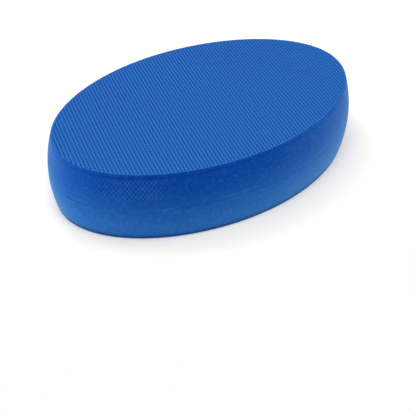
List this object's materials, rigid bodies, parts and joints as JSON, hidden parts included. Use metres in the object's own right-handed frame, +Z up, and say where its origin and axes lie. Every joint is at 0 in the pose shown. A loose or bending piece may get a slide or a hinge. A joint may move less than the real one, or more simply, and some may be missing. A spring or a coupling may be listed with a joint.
{
  "type": "oval foam balance pad",
  "caption": "Low oval foam pad for balance exercises: bonded foam slabs with an embossed grip sheet over the top face and the underside.",
  "frame": {"origin": "centre of the underside, on the surface that the pad lies on", "axes": "+X along the long axis of the oval, +Y along its short axis, +Z up through the standing face"},
  "size_m": [0.3, 0.2, 0.06],
  "materials": {
    "grip_sheet": "matte",
    "foam": "matte",
    "bond_film": "satin"
  },
  "bodies": {
    "root": {"bottom_grip_sheet": "grip_sheet", "bottom_bond_film": "bond_film", "lower_foam_slab": "foam", "centre_bond_film": "bond_film", "upper_foam_slab": "foam", "top_bond_film": "bond_film", "top_grip_sheet": "grip_sheet"}
  },
  "joints": []
}
